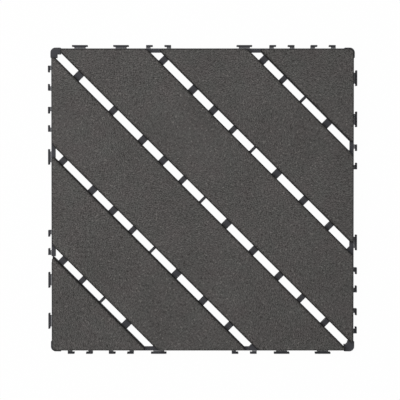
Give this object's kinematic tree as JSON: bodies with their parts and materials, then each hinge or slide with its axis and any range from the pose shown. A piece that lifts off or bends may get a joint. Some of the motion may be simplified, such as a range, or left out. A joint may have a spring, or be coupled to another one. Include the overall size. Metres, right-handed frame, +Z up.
{
  "type": "interlocking deck tile",
  "caption": "Square interlocking deck tile: diagonal textured composite slats with drain gaps, screwed to a moulded plastic grid base with tabs and hooks along its sides.",
  "frame": {"origin": "middle of the footprint, on the ground under the feet", "axes": "+Z up, from the feet to the walking face; +X and +Y along the sides; the slats run 45 degrees clockwise from +X"},
  "size_m": [0.3086, 0.3086, 0.022],
  "materials": {
    "grid": "charcoal polypropylene, as moulded",
    "slat": "dark brown-grey composite, fine stone-like grain",
    "screw": "plain stainless steel"
  },
  "bodies": {
    "root": {"base_grid": "grid", "centre_slat_upper_right": "slat", "centre_slat_lower_left": "slat", "outer_slat_upper_right": "slat", "outer_slat_lower_left": "slat", "corner_slat_upper_right": "slat", "corner_slat_lower_left": "slat", "slat_screws": "screw"}
  },
  "joints": []
}
